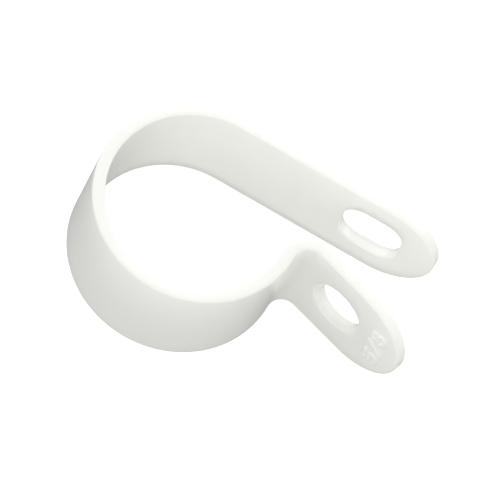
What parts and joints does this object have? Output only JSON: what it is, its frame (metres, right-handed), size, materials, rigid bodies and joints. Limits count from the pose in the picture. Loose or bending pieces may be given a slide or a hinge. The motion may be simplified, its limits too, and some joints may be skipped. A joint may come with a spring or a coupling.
{
  "type": "cable clamp",
  "caption": "One-piece moulded P-shaped cable clamp: a flat band bent into an open loop, with a long tail and a short tab that a screw closes onto it.",
  "frame": {"origin": "on the loop's axis, at the middle of the band's width", "axes": "+Z along the loop's axis, so the clamp lies on the band's edge; +X along the tail to its tip; +Y out of the tail's outer, panel-side face"},
  "size_m": [0.0301, 0.0181, 0.0106],
  "materials": {
    "natural_nylon": "satin natural nylon, milky and slightly translucent"
  },
  "bodies": {
    "root": {"clamp_body": "natural_nylon"}
  },
  "joints": []
}
